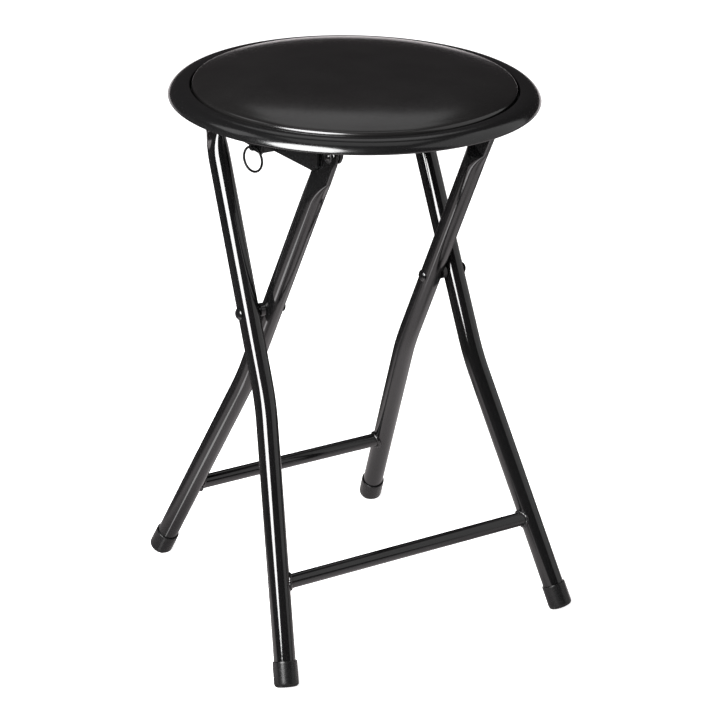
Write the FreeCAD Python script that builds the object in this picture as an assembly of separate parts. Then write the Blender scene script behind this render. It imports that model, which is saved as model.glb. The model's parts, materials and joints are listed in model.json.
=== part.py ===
import FreeCAD, Part
import os
import math

V = FreeCAD.Vector
os.makedirs("parts", exist_ok=True)

# ------------------------------------------------------------------
# Folding stool. Millimetres, +Z up, origin on the floor under the seat centre.
# X runs along the crossbars, -X is the side with the catch and pull ring.
# ------------------------------------------------------------------

# legs
TUBE_R = 9.0            # leg tube outside radius
TUBE_BORE_R = 7.6       # leg tube inside radius
BEND_R = 260.0          # radius of the bend below the crossing
PIV_Y, PIV_Z = -4.453, 274.774     # axis where the two leg pairs cross
OUTER = dict(w=99.497, taper=1.482, splay=8.704, bend=-74.369, tilt=25.432, dir=1.0,
             foot=-301.5, bar=-220.0, tip=166.0, pin_s=166.0, pin_n=0.0)
INNER = dict(w=77.17, taper=1.235, splay=8.059, bend=-85.595, tilt=26.821, dir=-1.0,
             foot=-305.1, bar=-222.2, tip=169.5, pin_s=173.5, pin_n=-2.8)
# tip: distance up the leg from the crossing to the centre of its round end
# pin_s, pin_n: the hole in that end, up the leg and square to the leg plane
TAB_T = 5.2             # thickness of the flattened leg top
TAB_W = 24.6            # width of the flattened leg top
FLAT_S0, FLAT_S1 = 126.0, 150.0  # where the tube starts and ends its flattening

# crossbars and feet
BAR_R, BAR_BORE_R = 6.0, 4.8
CAP_R, CAP_H, CAP_FLOOR, CAP_ROUND = 10.2, 21.0, 3.5, 3.0

# scissor rivets
RIVET_R = 3.0
RUN = 0.05              # radial running clearance
GAP = 0.3               # gap between faces that turn against each other

# seat
SEAT_R = 150.0
CUSHION_R = 130.9
PAN_Z0, PAN_Z1 = 442.6, 445.1    # flat floor of the pan
BOARD_Z1 = 451.2
CROWN_Z = 462.6

# brackets
SHEET = 2.0
BR_LOW = 409.9          # lower edge of the bracket flanges
BR_FRONT_X = 79.4       # outside face of the front flange
BR_REAR_X = 89.3        # outside face of the rear flange
BR_STEP_Y = -8.8        # front face of the step between them
HOOK_GAP = 0.3
ROD_R = 4.0

# catch lever, spring and ring
CATCH_Y, CATCH_Z = 30.0, 425.5
CATCH_X0, CATCH_X1 = 89.7, 91.6
EAR_Y, EAR_X, EAR_Z = -2.2, 95.0, 414.45
EAR_HOLE_R = 2.0
RING_R, RING_WIRE = 9.5, 0.9


def save(shape, name):
    shape.exportStep("parts/%s.step" % name)
    solids = shape.Solids
    print("%-24s solids %2d valid %s volume %.1f" % (
        name, len(solids), shape.isValid(), shape.Volume))


def biggest(shape):
    return max(shape.Solids, key=lambda s: s.Volume)


def cyl_x(x0, x1, y, z, r):
    return Part.makeCylinder(r, x1 - x0, V(x0, y, z), V(1, 0, 0))


def plate_x(points, x0, x1):
    """Flat plate in the YZ plane between two X values."""
    pts = [V(x0, y, z) for y, z in points]
    pts.append(pts[0])
    return Part.Face(Part.makePolygon(pts)).extrude(V(x1 - x0, 0, 0))


def mirror_x(shape):
    return shape.mirror(V(0, 0, 0), V(1, 0, 0))


# ------------------------------------------------------------------
# legs
# ------------------------------------------------------------------

def leg_xs(f, s):
    """Distance of the leg's centre line from the middle plane."""
    u, g = math.radians(f["taper"]), math.radians(f["splay"])
    if s >= f["bend"]:
        return f["w"] - math.tan(u) * s
    return f["w"] - math.tan(u) * f["bend"] + math.tan(g) * (f["bend"] - s)


def at(f, x, s, n=0.0):
    """Point of a leg pair's plane: x across, s up the leg, n square to the plane."""
    a = math.radians(f["tilt"])
    return V(x, PIV_Y + f["dir"] * s * math.sin(a) + n * math.cos(a),
             PIV_Z + s * math.cos(a) - f["dir"] * n * math.sin(a))


def pin(f):
    """Centre of the hole in the flat top, right-hand leg."""
    return at(f, leg_xs(f, f["tip"]), f["pin_s"], f["pin_n"])


def foot_axis(f):
    """Foot point and unit vector up the lower leg, right-hand leg."""
    p0 = at(f, leg_xs(f, f["foot"]), f["foot"])
    p1 = at(f, leg_xs(f, f["bend"]), f["bend"])
    d = p1 - p0
    d.normalize()
    return p0, d


def leg_path(f, s_top, foot_cut):
    """Straight, arc, straight; from the upper end to the foot end."""
    pt = at(f, leg_xs(f, s_top), s_top)
    pb = at(f, leg_xs(f, f["bend"]), f["bend"])
    p0, d = foot_axis(f)
    pf = p0 + d * foot_cut
    up = pt - pb
    up.normalize()
    dn = pf - pb
    dn.normalize()
    turn = math.pi - up.getAngle(dn)
    t = BEND_R * math.tan(turn / 2.0)
    a0, a1 = pb + up * t, pb + dn * t
    mid_dir = up + dn
    mid_dir.normalize()
    am = pb + mid_dir * (BEND_R / math.cos(turn / 2.0) - BEND_R)
    wire = Part.Wire([Part.LineSegment(pt, a0).toShape(),
                      Part.Arc(a0, am, a1).toShape(),
                      Part.LineSegment(a1, pf).toShape()])
    return wire, pt, up * -1.0


def swept(f, r, s_top, foot_cut):
    wire, start, tangent = leg_path(f, s_top, foot_cut)
    ring = Part.Wire([Part.Circle(start, tangent, r).toShape()])
    return wire.makePipeShell([ring], True, True)


def flattening(f):
    """Loft from the round tube to the flat top."""
    xt = leg_xs(f, f["tip"])
    wires = []
    n_sec, n_pt = 8, 40
    for i in range(n_sec):
        t = i / (n_sec - 1.0)
        k = t * t * (3 - 2 * t)
        s = FLAT_S0 - 2.0 + (FLAT_S1 - FLAT_S0 + 2.0) * t
        xc = leg_xs(f, s) * (1 - k) + xt * k
        half_t = (TUBE_R - 0.05) * (1 - k) + (TAB_T / 2 + 0.3) * k
        half_w = (TUBE_R - 0.05) * (1 - k) + (TAB_W / 2 + 0.3) * k
        p = 2.0 + 2.5 * k
        pts = []
        for j in range(n_pt):
            a = 2 * math.pi * j / n_pt
            c, q = math.cos(a), math.sin(a)
            px = half_t * math.copysign(abs(c) ** (2.0 / p), c)
            pn = half_w * math.copysign(abs(q) ** (2.0 / p), q)
            pts.append(at(f, xc + px, s, pn))
        curve = Part.BSplineCurve()
        curve.interpolate(Points=pts, PeriodicFlag=True)
        wires.append(Part.Wire([curve.toShape()]))
    return Part.makeLoft(wires, True, False)


def flat_top(f):
    """Flat end with a round tip and rounded edges, square to X."""
    st = f["tip"]
    xt = leg_xs(f, st)
    h = TAB_W / 2.0
    x0 = xt - TAB_T / 2.0
    p = lambda s, n: at(f, x0, s, n)
    edges = [Part.LineSegment(p(FLAT_S1 - 3, -h), p(st, -h)).toShape(),
             Part.Arc(p(st, -h), p(st + h, 0), p(st, h)).toShape(),
             Part.LineSegment(p(st, h), p(FLAT_S1 - 3, h)).toShape(),
             Part.LineSegment(p(FLAT_S1 - 3, h), p(FLAT_S1 - 3, -h)).toShape()]
    tab = Part.Face(Part.Wire(edges)).extrude(V(TAB_T, 0, 0))
    low = at(f, 0, FLAT_S1 - 3, 0)
    rim = []
    for e in tab.Edges:
        c = e.BoundBox.Center
        flat = e.BoundBox.XLength < 1e-6
        end = abs((c.y - low.y) ** 2 + (c.z - low.z) ** 2) < 1.0
        if flat and not end:
            rim.append(e)
    return tab.makeFillet(TAB_T / 2.0 - 0.1, rim)


def leg_solid(f):
    return swept(f, TUBE_R, FLAT_S0, CAP_FLOOR + 0.02).fuse([flattening(f), flat_top(f)])


def leg(f, cross_r, top_r):
    body = leg_solid(f)
    body = body.cut(swept(f, TUBE_BORE_R, FLAT_S0 - 5.0, -5.0))
    body = body.cut(cyl_x(f["w"] - 30, f["w"] + 30, PIV_Y, PIV_Z, cross_r))
    tp = pin(f)
    body = body.cut(cyl_x(tp.x - 12, tp.x + 12, tp.y, tp.z, top_r))
    return biggest(body)


def crossbar(f):
    c = at(f, 0, f["bar"])
    half = leg_xs(f, f["bar"])
    bar = cyl_x(-half, half, c.y, c.z, BAR_R).cut(cyl_x(-half - 1, half + 1, c.y, c.z, BAR_BORE_R))
    right = leg_solid(f)
    bar = bar.cut(right).cut(mirror_x(right))
    return biggest(bar)


def foot_cap(f):
    p0, d = foot_axis(f)
    cap = Part.makeCylinder(CAP_R, CAP_H)
    low = [e for e in cap.Edges if abs(e.BoundBox.ZMax) < 1e-6 and e.Length > 10]
    cap = cap.makeFillet(CAP_ROUND, low)
    high = [e for e in cap.Edges if abs(e.BoundBox.ZMin - CAP_H) < 1e-6]
    cap = cap.makeFillet(0.5, high)
    cap = cap.cut(Part.makeCylinder(TUBE_R + 0.02, CAP_H, V(0, 0, CAP_FLOOR)))
    cap.Placement = FreeCAD.Placement(p0, FreeCAD.Rotation(V(0, 0, 1), d))
    cap = cap.cut(Part.makeBox(100, 100, 50, V(p0.x - 50, p0.y - 50, -50)))
    return biggest(cap)


outer_right = leg(OUTER, RIVET_R + RUN, ROD_R)
inner_right = leg(INNER, RIVET_R, RIVET_R)
save(outer_right, "outer_leg_right")
save(mirror_x(outer_right), "outer_leg_left")
save(inner_right, "inner_leg_right")
save(mirror_x(inner_right), "inner_leg_left")
save(crossbar(OUTER), "outer_crossbar")
save(crossbar(INNER), "inner_crossbar")
cap_o, cap_i = foot_cap(OUTER), foot_cap(INNER)
save(cap_o, "outer_foot_cap_right")
save(mirror_x(cap_o), "outer_foot_cap_left")
save(cap_i, "inner_foot_cap_right")
save(mirror_x(cap_i), "inner_foot_cap_left")


# ------------------------------------------------------------------
# rivets and spacers at the crossing, seat pivots, cross rod
# ------------------------------------------------------------------

def dome_x(x, sign, y, z, r, h):
    """Domed head standing on the plane x, rising along sign * X."""
    R = (r * r + h * h) / (2.0 * h)
    ball = Part.makeSphere(R, V(x + sign * (h - R), y, z))
    slab = cyl_x(min(x, x + sign * h * 1.5), max(x, x + sign * h * 1.5), y, z, r + 1)
    return ball.common(slab)


xo = OUTER["w"] + TUBE_R + GAP + 0.05        # under the outer head
xi = INNER["w"] - TUBE_R - 0.15              # under the inner head
rivet = cyl_x(xi, xo, PIV_Y, PIV_Z, RIVET_R)
rivet = rivet.fuse([dome_x(xo, 1, PIV_Y, PIV_Z, 5.0, 2.4), dome_x(xi, -1, PIV_Y, PIV_Z, 5.0, 2.4)])
rivet = biggest(rivet.removeSplitter())
save(Part.makeCompound([rivet, mirror_x(rivet)]), "scissor_rivets")

sp0 = INNER["w"] + TUBE_R + 0.15
sp1 = OUTER["w"] - TUBE_R - GAP
spacer = cyl_x(sp0, sp1, PIV_Y, PIV_Z, 5.6).cut(cyl_x(sp0 - 1, sp1 + 1, PIV_Y, PIV_Z, RIVET_R))
save(Part.makeCompound([spacer, mirror_x(spacer)]), "scissor_spacers")

tb = pin(INNER)
ta = pin(OUTER)
tb_in, tb_out = tb.x - TAB_T / 2, tb.x + TAB_T / 2

IN_FL_X1 = tb_in - 1.25                      # inner flange, face towards the leg
IN_FL_X0 = IN_FL_X1 - SHEET
pivot = cyl_x(IN_FL_X0 - GAP - 1.0, tb_out + 2.0, tb.y, tb.z, RIVET_R)
pivot = pivot.fuse([dome_x(tb_out + 1.0, 1, tb.y, tb.z, 3.9, 2.2),
                    cyl_x(IN_FL_X0 - GAP - 1.8, IN_FL_X0 - GAP, tb.y, tb.z, 5.0)])
pivot = biggest(pivot.removeSplitter())
save(Part.makeCompound([pivot, mirror_x(pivot)]), "seat_pivot_rivets")

wash_out = cyl_x(tb_out, tb_out + 1.0, tb.y, tb.z, 5.4).cut(cyl_x(tb_out - 1, tb_out + 2, tb.y, tb.z, RIVET_R))
wash_in = cyl_x(IN_FL_X1 + GAP, tb_in, tb.y, tb.z, 6.0).cut(cyl_x(IN_FL_X1, tb_in + 1, tb.y, tb.z, RIVET_R))
save(Part.makeCompound([wash_out, wash_in, mirror_x(wash_out), mirror_x(wash_in)]), "seat_pivot_washers")

rod_end = ta.x + TAB_T / 2 + 2.2
rod = cyl_x(-rod_end, rod_end, ta.y, ta.z, ROD_R)
save(rod, "top_cross_rod")
cx0 = ta.x + TAB_T / 2
cap = cyl_x(cx0, cx0 + 2.4, ta.y, ta.z, 6.5).fuse(dome_x(cx0 + 2.4, 1, ta.y, ta.z, 5.5, 2.0))
cap = biggest(cap.removeSplitter().cut(cyl_x(cx0 - 1, rod_end, ta.y, ta.z, ROD_R)))
save(Part.makeCompound([cap, mirror_x(cap)]), "rod_end_caps")


# ------------------------------------------------------------------
# seat: pan with rolled rim, board, foam, cover
# ------------------------------------------------------------------

def spline_rz(pts):
    c = Part.BSplineCurve()
    c.interpolate(Points=[V(r, 0, z) for r, z in pts])
    return c.toShape()


def line_rz(a, b):
    return Part.LineSegment(V(a[0], 0, a[1]), V(b[0], 0, b[1])).toShape()


def turned(edges):
    return Part.Face(Part.Wire(edges)).revolve(V(0, 0, 0), V(0, 0, 1), 360)


SCREWS = [(61.0, -74.0), (61.0, -24.0), (61.0, 26.0), (61.0, 72.0)]

rim_top = [(132.3, 450.), (132.8, 450.95), (134.0, 451.4), (136.6, 451.35), (140.2, 450.9),
           (144.0, 449.7), (147.2, 447.5), (149.3, 445.), (150.0, 443.4)]
lip = [(150.0, 443.4), (149.6, 442.3), (148.4, 441.7), (147.2, 442.1), (146.8, 443.3)]
under = [(146.8, 443.3), (145.6, 445.2), (143.0, 447.2), (139.6, 448.5), (137.6, 448.85), (136.2, 448.7)]
pan = turned([
    line_rz((0, PAN_Z0), (0, PAN_Z1)), line_rz((0, PAN_Z1), (132.3, PAN_Z1)),
    line_rz((132.3, PAN_Z1), (132.3, 450.)), spline_rz(rim_top), spline_rz(lip), spline_rz(under),
    line_rz((136.2, 448.7), (134.9, 447.3)), line_rz((134.9, 447.3), (134.9, PAN_Z0)),
    line_rz((134.9, PAN_Z0), (0, PAN_Z0))])

# moulded ribs in the channel under the rim
RIBS = 36
rib_rz = [(134.5, 443.2), (147.4, 443.5), (147.0, 444.5), (145.6, 445.7), (143.0, 447.7),
          (139.6, 449.), (137.6, 449.35), (136.0, 449.2), (134.5, 447.8)]
rib_pts = [V(r, -0.8, z) for r, z in rib_rz]
rib = Part.Face(Part.makePolygon(rib_pts + rib_pts[:1])).extrude(V(0, 1.6, 0))
ribs = []
for i in range(RIBS):
    r = rib.copy()
    r.rotate(V(0, 0, 0), V(0, 0, 1), 360.0 / RIBS * (i + 0.5))
    ribs.append(r)
pan = pan.fuse(ribs)

board = Part.makeCylinder(CUSHION_R - 2.0, BOARD_Z1 - PAN_Z1, V(0, 0, PAN_Z1))
for sx, sy in SCREWS:
    for sgn in (1, -1):
        pan = pan.cut(Part.makeCylinder(2.2, 10, V(sgn * sx, sy, PAN_Z0 - 4)))
        board = board.cut(Part.makeCylinder(2.0, 8.0, V(sgn * sx, sy, PAN_Z1)))
save(biggest(pan), "seat_pan")
save(biggest(board), "seat_board")

# the cover is a low dome that steepens to a rolled edge
dome = [(CUSHION_R, 450.8), (130.75, 451.9), (130.2, 452.85), (129.3, 453.55), (128.0, 454.05), (125.0, 454.8), (120.0, 455.97),
        (112.0, 457.57), (100.0, 459.4), (85.0, 460.93), (60.0, 462.19), (30.0, 462.57), (0.0, CROWN_Z)]
under_dome = [(129.7, 450.6), (129.45, 451.4), (128.8, 452.15), (127.4, 452.75), (125.0, 453.4), (120.0, 454.6), (112.0, 456.2),
              (100.0, 458.05), (85.0, 459.6), (60.0, 460.88), (30.0, 461.26), (0.0, CROWN_Z - 1.3)]
cover = turned([line_rz((CUSHION_R, 445.8), (CUSHION_R, 450.8)), spline_rz(dome),
                line_rz((0.0, CROWN_Z), (0.0, CROWN_Z - 1.3)), spline_rz(list(reversed(under_dome))),
                line_rz((129.7, 450.6), (129.7, 445.8)), line_rz((129.7, 445.8), (CUSHION_R, 445.8))])
save(biggest(cover), "seat_cover")
foam_top = [(128.9, BOARD_Z1 + 0.1)] + [(r - 0.1 if r > 0 else 0.0, z - 0.1) for r, z in under_dome[2:]]
foam = turned([line_rz((0, BOARD_Z1), (128.9, BOARD_Z1)), line_rz((128.9, BOARD_Z1), foam_top[0]),
               spline_rz(foam_top), line_rz((0.0, CROWN_Z - 1.4), (0, BOARD_Z1))])
save(biggest(foam), "seat_foam")


# ------------------------------------------------------------------
# brackets under the seat; built on the +X side, the catch side is mirrored
# ------------------------------------------------------------------

def bracket(with_catch):
    z1 = PAN_Z0
    z0 = z1 - SHEET
    fx1, fx0 = BR_FRONT_X, BR_FRONT_X - SHEET
    rx1, rx0 = BR_REAR_X, BR_REAR_X - SHEET
    y_front, y_rear = -92.6, 84.0
    step0, step1 = BR_STEP_Y, BR_STEP_Y + SHEET
    web = Part.makeBox(fx1 - 50, step1 - y_front, SHEET, V(50, y_front, z0))
    web = web.fuse(Part.makeBox(rx1 - 50, y_rear - step0, SHEET, V(50, step0, z0)))
    # front flange with a rounded lower corner
    fr = [(-74.2, z1), (-74.1, 419.8), (-73.3, 416.6), (-71.3, 413.9), (-68.6, 412.2), (-65.2, 411.4),
          (step1, BR_LOW), (step1, z1)]
    front = plate_x(fr, fx0, fx1)
    step = Part.makeBox(rx1 - fx0, SHEET, z1 - BR_LOW, V(fx0, step0, BR_LOW))
    # rear flange with the hook over the cross rod
    hr = ROD_R + HOOK_GAP
    y, z = ta.y, ta.z
    rear = plate_x([(step0, z1), (step0, BR_LOW), (43.0, BR_LOW), (55.0, z + hr), (y, z + hr),
                    (y + hr, z + hr), (y + hr, BR_LOW + 2.0), (y + hr + 2.0, BR_LOW), (y_rear - 3, BR_LOW),
                    (y_rear, BR_LOW + 3), (y_rear, z1)], rx0, rx1)
    # the corner above the rod is filled so that the hook is round
    fill = Part.makeBox(SHEET, hr, hr, V(rx0, y, z)).cut(cyl_x(rx0 - 1, rx1 + 1, y, z, hr))
    # inner flange round the seat pivot
    inner = plate_x([(tb.y - 7.2, z1), (tb.y - 7.2, tb.z), (tb.y + 4.0, tb.z - 6.0), (tb.y + 20.0, z0), (tb.y + 20.0, z1)],
                    IN_FL_X0, IN_FL_X1)
    inner = inner.fuse(cyl_x(IN_FL_X0, IN_FL_X1, tb.y, tb.z, 7.2))
    br = web.fuse([front, step, rear, fill, inner])
    br = br.cut(cyl_x(IN_FL_X0 - 1, IN_FL_X1 + 1, tb.y, tb.z, RIVET_R + RUN))
    for sx, sy in SCREWS:
        br = br.cut(Part.makeCylinder(2.2, 8, V(sx, sy, z0 - 3)))
    if with_catch:
        br = br.cut(cyl_x(rx0 - 1, rx1 + 1, CATCH_Y, CATCH_Z, 2.5))
        br = br.fuse(Part.makeBox(2.6, 5.0, 2.2, V(rx1 - 0.2, 42.0, 417.8)))        # stop lug under the catch
        br = br.fuse(Part.makeBox(8.2, 5.0, SHEET, V(rx1 - 0.2, -0.5, z0)))          # spring anchor
        br = br.cut(Part.makeCylinder(0.9, 8, V(95.0, 2.0, z0 - 3)))
    return biggest(br.removeSplitter())


save(mirror_x(bracket(True)), "bracket_left")
save(bracket(False), "bracket_right")

screw = Part.makeCylinder(2.0, 10.4, V(0, 0, PAN_Z0 - SHEET))
head = Part.makeCylinder(4.0, 2.2, V(0, 0, PAN_Z0 - SHEET - 2.2))
head = head.makeFillet(1.2, [e for e in head.Edges if abs(e.BoundBox.ZMax - (PAN_Z0 - SHEET - 2.2)) < 1e-6 and e.Length > 10])
slot_a = Part.makeBox(4.4, 0.9, 1.1, V(-2.2, -0.45, PAN_Z0 - SHEET - 2.3))
slot_b = Part.makeBox(0.9, 4.4, 1.1, V(-0.45, -2.2, PAN_Z0 - SHEET - 2.3))
screw = biggest(screw.fuse(head.cut(slot_a.fuse(slot_b))))
group = []
for sx, sy in SCREWS:
    for sgn in (1, -1):
        s = screw.copy()
        s.translate(V(sgn * sx, sy, 0))
        group.append(s)
save(Part.makeCompound(group), "bracket_screws")


# ------------------------------------------------------------------
# catch lever, its rivet and spring, and the pull ring (on -X)
# ------------------------------------------------------------------

lever = plate_x([(-8.6, 409.0), (7.6, 409.0), (10.2, 412.0), (21.0, 418.6), (40.0, 420.4), (59.4, 421.4),
                 (62.2, 427.4), (46.0, 430.6), (36.0, 433.2), (28.0, 433.6), (8.0, 430.0), (-8.6, 424.0)],
                CATCH_X0, CATCH_X1)
lever = lever.cut(cyl_x(CATCH_X0 - 1, CATCH_X1 + 1, CATCH_Y, CATCH_Z, 2.5 + RUN))
ear = Part.makeBox(EAR_X + 3.4 - (CATCH_X1 - 0.3), 1.6, 8.4, V(CATCH_X1 - 0.3, EAR_Y - 0.8, 411.0))
round_edge = [e for e in ear.Edges if abs(e.BoundBox.XMin - (EAR_X + 3.4)) < 1e-6 and e.BoundBox.YLength > 1]
ear = ear.makeFillet(3.0, round_edge)
ear = ear.cut(Part.makeCylinder(EAR_HOLE_R, 6, V(EAR_X, EAR_Y - 3, EAR_Z), V(0, 1, 0)))
peg = cyl_x(CATCH_X1 - 0.3, 96.6, 2.0, 420.5, 1.0)
lever = biggest(lever.fuse([ear, peg]).removeSplitter())
save(mirror_x(lever), "catch_lever")

pin = cyl_x(BR_REAR_X - SHEET - 1.0, CATCH_X1 + GAP + 1.0, CATCH_Y, CATCH_Z, 2.5)
pin = pin.fuse([cyl_x(BR_REAR_X - SHEET - 1.8, BR_REAR_X - SHEET, CATCH_Y, CATCH_Z, 4.5),
                dome_x(CATCH_X1 + GAP, 1, CATCH_Y, CATCH_Z, 4.5, 1.6)])
save(mirror_x(biggest(pin.removeSplitter())), "catch_rivet")

SPRING_R, SPRING_WIRE = 1.9, 0.35
helix = Part.makeHelix(1.05, 14.7, SPRING_R)
ringw = Part.Wire([Part.Circle(V(SPRING_R, 0, 0), V(0, 1, 0), SPRING_WIRE).toShape()])
coil = Part.Wire(helix.Edges).makePipeShell([ringw], True, True)
coil.translate(V(-95.0, 2.0, 423.3))
save(coil, "catch_spring")

top_wire_z = EAR_Z - EAR_HOLE_R + RING_WIRE + 0.35
ring = Part.makeTorus(RING_R, RING_WIRE, V(-EAR_X, EAR_Y, top_wire_z - RING_R), V(0.968, 0.25, 0))
save(ring, "pull_ring")

print("seat pivot %.8f %.8f %.8f" % (tb.x, tb.y, tb.z), "rod", ta, "ring wire z", top_wire_z, "ring centre z", top_wire_z - RING_R)
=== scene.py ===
import bpy
import bmesh
import json
import math
from mathutils import Matrix, Quaternion, Vector, noise
from mathutils.bvhtree import BVHTree


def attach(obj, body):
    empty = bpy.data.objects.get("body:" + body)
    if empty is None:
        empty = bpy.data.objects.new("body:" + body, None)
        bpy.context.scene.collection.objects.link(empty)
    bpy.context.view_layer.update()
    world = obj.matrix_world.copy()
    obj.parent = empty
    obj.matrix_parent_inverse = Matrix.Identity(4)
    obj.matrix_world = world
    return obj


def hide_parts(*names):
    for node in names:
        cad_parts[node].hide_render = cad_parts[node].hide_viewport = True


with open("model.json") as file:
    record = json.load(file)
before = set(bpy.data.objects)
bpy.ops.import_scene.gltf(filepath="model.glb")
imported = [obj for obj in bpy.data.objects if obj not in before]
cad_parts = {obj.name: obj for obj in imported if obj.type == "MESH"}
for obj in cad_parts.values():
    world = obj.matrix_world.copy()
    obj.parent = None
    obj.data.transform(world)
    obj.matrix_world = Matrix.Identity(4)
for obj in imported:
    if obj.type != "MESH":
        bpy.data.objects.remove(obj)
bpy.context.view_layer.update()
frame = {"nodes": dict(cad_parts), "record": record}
nodes = frame["nodes"]
scene = bpy.context.scene
MM = 0.001


# ------------------------------------------------------------------
# camera at the photograph's viewing angle
# ------------------------------------------------------------------

CAM_POS = Vector((-1.055923, -1.682124, 1.068093))
CAM_RIGHT = Vector((0.8489326, -0.528022322, 0.022491544))
CAM_UP = Vector((0.192302659, 0.348256382, 0.917462358))
CAM_VIEW = Vector((0.492273435, 0.774538523, -0.397186292))

cam_data = bpy.data.cameras.new("camera")
cam_data.sensor_fit = "HORIZONTAL"
cam_data.sensor_width = 36.0
cam_data.lens = 2576.7127 / 724.0 * 36.0
cam_data.clip_start = 0.05
cam_data.clip_end = 60.0
cam = bpy.data.objects.new("camera", cam_data)
scene.collection.objects.link(cam)
m = Matrix.Identity(4)
for i in range(3):
    m[i][0] = CAM_RIGHT[i]
    m[i][1] = CAM_UP[i]
    m[i][2] = -CAM_VIEW[i]
    m[i][3] = CAM_POS[i]
cam.matrix_world = m
scene.camera = cam


# ------------------------------------------------------------------
# studio: floor, backdrop, softboxes and reflector cards
# ------------------------------------------------------------------

CAM_AZ = math.atan2(CAM_POS.y, CAM_POS.x)


def toward(rel, el, dist, centre=(0.0, 0.0, 0.27)):
    """Point seen from the stool at an angle rel to the right of the camera and el above the horizon."""
    a = CAM_AZ + math.radians(rel)
    e = math.radians(el)
    return Vector(centre) + dist * Vector((math.cos(a) * math.cos(e), math.sin(a) * math.cos(e), math.sin(e)))


def emission_material(name, colour, strength):
    mat = bpy.data.materials.new(name)
    mat.use_nodes = True
    t = mat.node_tree
    t.nodes.clear()
    out = t.nodes.new("ShaderNodeOutputMaterial")
    em = t.nodes.new("ShaderNodeEmission")
    em.inputs["Color"].default_value = (*colour, 1.0)
    em.inputs["Strength"].default_value = strength
    t.links.new(em.outputs[0], out.inputs["Surface"])
    mat.cycles.emission_sampling = "NONE"
    return mat


def softbox(name, rel, el, dist, size_x, size_y, radiance, centre=(0.0, 0.0, 0.27), diffuse=1.0, shape="RECTANGLE",
            roll=0.0):
    light = bpy.data.lights.new(name, "AREA")
    light.shape = shape
    light.size = size_x
    light.size_y = size_y
    light.energy = radiance * math.pi * size_x * size_y * (math.pi / 4 if shape == "ELLIPSE" else 1.0)
    light.diffuse_factor = diffuse
    ob = bpy.data.objects.new(name, light)
    scene.collection.objects.link(ob)
    p = toward(rel, el, dist, centre)
    ob.location = p
    turn = Quaternion((0, 0, 1), math.radians(roll))
    ob.rotation_euler = ((Vector(centre) - p).to_track_quat("-Z", "Y") @ turn).to_euler()
    ob.visible_camera = False
    return ob


def only_gloss(ob):
    ob.visible_camera = False
    ob.visible_diffuse = False
    ob.visible_shadow = False
    ob.visible_transmission = False


def card(name, rel, el, dist, size_x, size_y, radiance, centre=(0.0, 0.0, 0.27)):
    """Reflector that shows only in the gloss of the stool."""
    p = toward(rel, el, dist, centre)
    me = bpy.data.meshes.new(name)
    x, y = size_x / 2, size_y / 2
    me.from_pydata([(-x, -y, 0), (x, -y, 0), (x, y, 0), (-x, y, 0)], [], [(0, 1, 2, 3)])
    ob = bpy.data.objects.new(name, me)
    scene.collection.objects.link(ob)
    ob.location = p
    ob.rotation_euler = (Vector(centre) - p).to_track_quat("Z", "Y").to_euler()
    me.materials.append(emission_material(name, (1, 1, 1), radiance))
    only_gloss(ob)
    return ob


def plane(name, size, z):
    me = bpy.data.meshes.new(name)
    s = size / 2
    me.from_pydata([(-s, -s, z), (s, -s, z), (s, s, z), (-s, s, z)], [], [(0, 1, 2, 3)])
    ob = bpy.data.objects.new(name, me)
    scene.collection.objects.link(ob)
    return ob


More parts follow.
